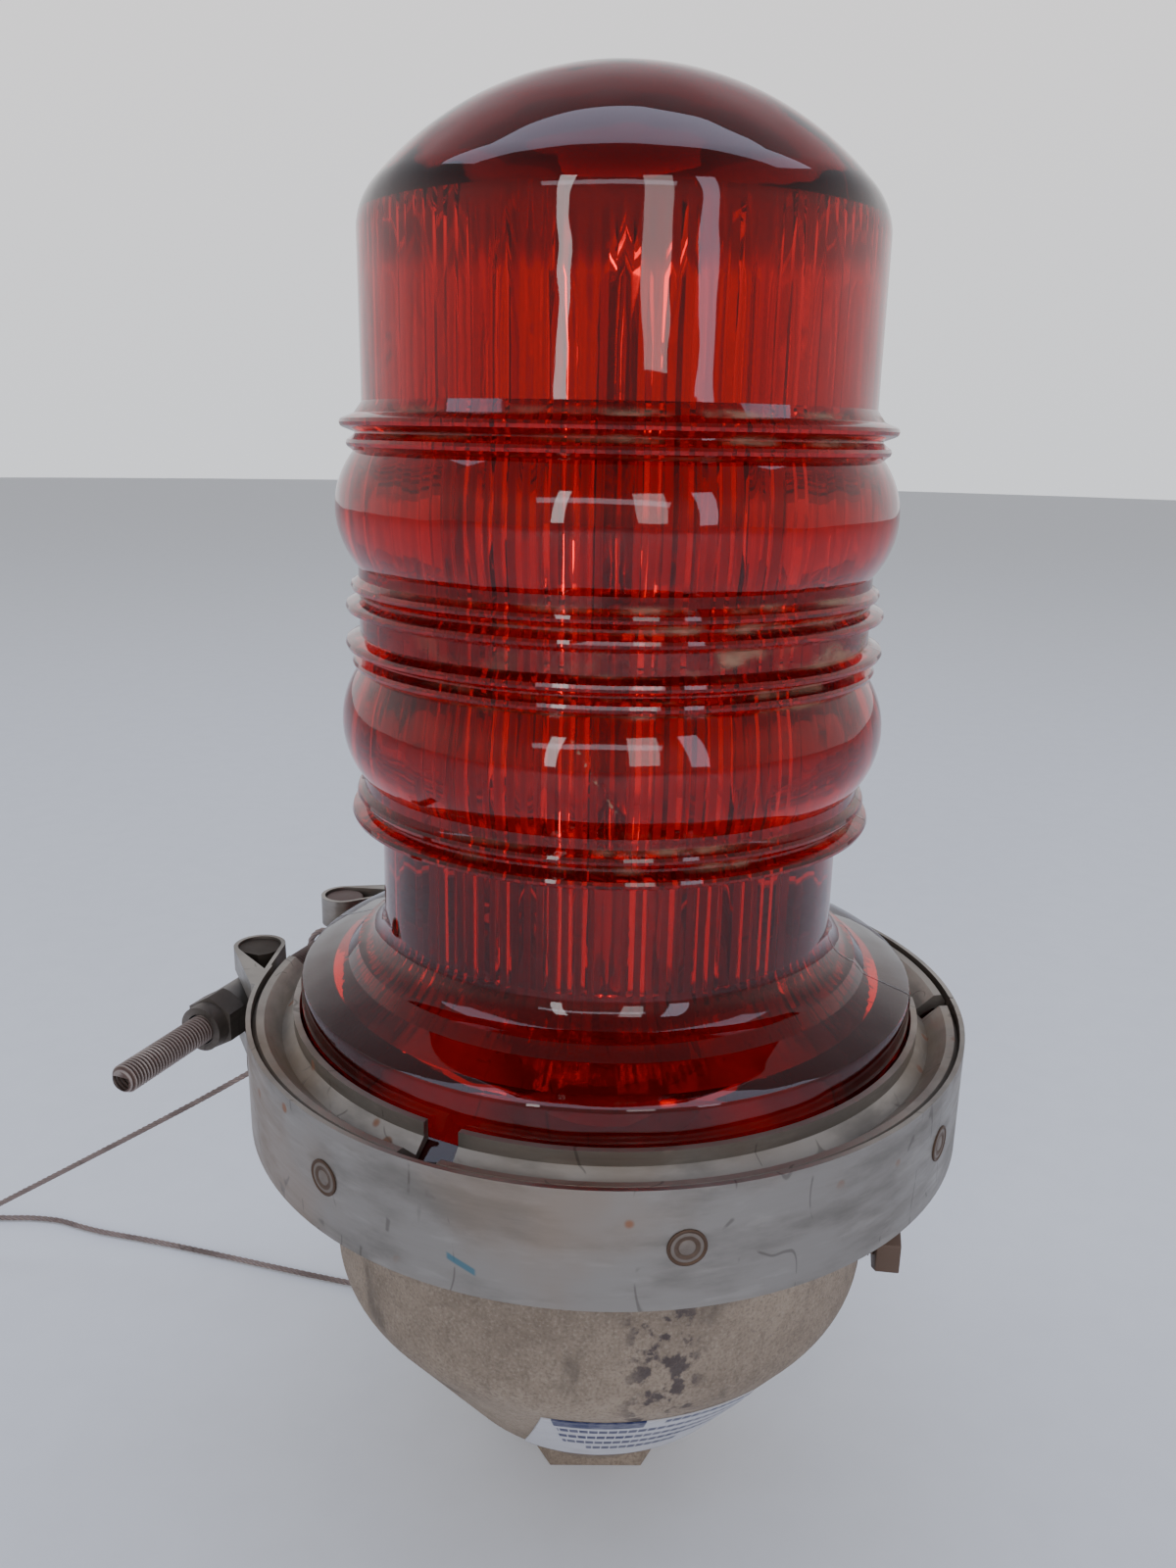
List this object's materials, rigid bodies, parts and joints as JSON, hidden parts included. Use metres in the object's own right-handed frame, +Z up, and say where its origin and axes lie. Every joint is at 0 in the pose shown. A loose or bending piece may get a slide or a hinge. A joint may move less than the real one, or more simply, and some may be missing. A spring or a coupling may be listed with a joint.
{
  "type": "red obstruction light",
  "caption": "Red obstruction light: a ribbed glass globe with two lens belts, held on a cast conduit-mount base by a T-bolt V-band clamp, with a wire lanyard.",
  "frame": {"origin": "centre of the conduit hub's bottom face, where the light stands or screws on its pipe", "axes": "+Z up along the globe's axis, -Y towards the front where the label is, T-bolt on the -X side"},
  "size_m": [0.2808, 0.1542, 0.2952],
  "materials": {
    "cast_base": "sand-cast, weathered",
    "label": "printed film",
    "seal_rubber": "matt",
    "red_glass": "pressed, fluted",
    "band_steel": "satin, stained",
    "retainer_steel": "rolled, satin",
    "stained_bolt": "brown-stained thread",
    "fastener_steel": "dull",
    "nylon": "matt",
    "wire_rope": "stranded, dull",
    "sheet_aluminium": "plain",
    "mast_aluminium": "extruded",
    "white_board": "solder mask",
    "led_lens": "clear over phosphor",
    "standoff_brass": "turned",
    "green_board": "solder mask",
    "capacitor_sleeve": "shrink sleeve",
    "choke_winding": "enamelled wire",
    "suppressor_blue": "dipped",
    "chip_black": "moulded",
    "terminal_plastic": "moulded"
  },
  "bodies": {
    "light": {"base_casting": "cast_base", "rating_label": "label", "globe_seal": "seal_rubber", "glass_globe": "red_glass", "band_rear": "band_steel", "retainer_rear": "retainer_steel", "lanyard_eyes": "wire_rope", "lanyard_ferrules": "fastener_steel", "lanyard_rope": "wire_rope", "lanyard_screw": "fastener_steel", "ground_bolt": "stained_bolt", "mounting_plate": "sheet_aluminium", "plate_screws": "fastener_steel", "heat_sink_mast": "mast_aluminium", "mast_screws": "fastener_steel", "lower_led_boards": "white_board", "upper_led_boards": "white_board", "lower_leds": "led_lens", "upper_leds": "led_lens", "board_standoffs": "standoff_brass", "driver_board": "green_board", "board_screws": "fastener_steel", "driver_capacitors": "capacitor_sleeve", "driver_choke": "choke_winding", "surge_suppressor": "suppressor_blue", "driver_chips": "chip_black", "terminal_block": "terminal_plastic", "terminal_screws": "fastener_steel"},
    "clamp_arm": {"band_front": "band_steel", "retainer_left": "retainer_steel", "retainer_right": "retainer_steel"},
    "bolt": {"t_bolt": "stained_bolt"},
    "nut_carrier": {"trunnion": "fastener_steel", "spacer_sleeve": "fastener_steel"},
    "nut": {"lock_nut": "fastener_steel", "nut_insert": "nylon"}
  },
  "joints": [
    {"name": "nut_turn", "type": "hinge", "parent": "nut_carrier", "child": "nut", "pos_m": [-0.08139, 0.0204, 0.102], "axis": [-0.3827, -0.9239, 0], "range_deg": [0, 8640]},
    {"name": "clamp_open", "type": "hinge", "parent": "light", "child": "clamp_arm", "pos_m": [0.07709, -0.00404, 0.102], "axis": [0, 0, 1], "range_deg": [0, 8.1]},
    {"name": "bolt_swing", "type": "hinge", "parent": "light", "child": "bolt", "pos_m": [-0.06738, 0.05421, 0.102], "axis": [0, 0, 1], "range_deg": [0, 7.1]},
    {"name": "trunnion_turn", "type": "hinge", "parent": "clamp_arm", "child": "nut_carrier", "pos_m": [-0.08139, 0.0204, 0.102], "axis": [0, 0, 1], "range_deg": [-1.3, 0]}
  ],
  "couplings": [
    {"joint": "clamp_open", "follows": "nut_turn", "ratio": 0.000926},
    {"joint": "bolt_swing", "follows": "nut_turn", "ratio": 0.000798},
    {"joint": "trunnion_turn", "follows": "nut_turn", "ratio": -0.000128}
  ]
}
